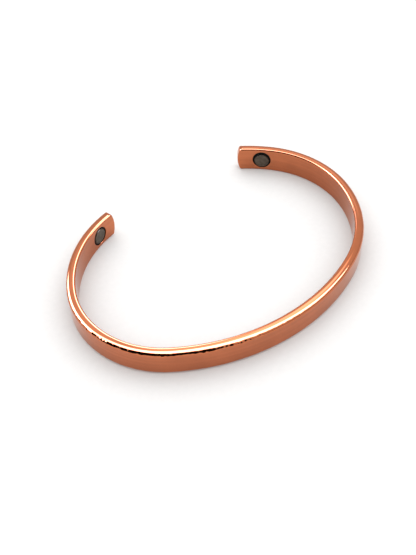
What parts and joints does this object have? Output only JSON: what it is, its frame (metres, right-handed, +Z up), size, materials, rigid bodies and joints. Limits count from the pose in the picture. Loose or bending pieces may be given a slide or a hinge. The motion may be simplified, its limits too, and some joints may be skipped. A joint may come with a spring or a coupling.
{
  "type": "magnetic cuff bracelet",
  "caption": "Open copper cuff bracelet, a rounded flat bar bent to an oval with a mouth, with a round dark magnet set into the inside of each end.",
  "frame": {"origin": "on the surface that the cuff lies on, under the middle of its outline", "axes": "+Z up, the width of the bar; X along the oval's long axis; the closed back faces -Y and the mouth opens towards +Y"},
  "size_m": [0.0698, 0.0496, 0.006],
  "materials": {
    "copper": "solid copper with a hand polish, brighter on the rounded edges",
    "magnet": "dark grey magnet, satin, with a slightly lighter chamfered rim",
    "glue": "black glue, set a little below the inner face"
  },
  "bodies": {
    "root": {"cuff": "copper", "left_magnet": "magnet", "right_magnet": "magnet", "left_glue": "glue", "right_glue": "glue"}
  },
  "joints": []
}
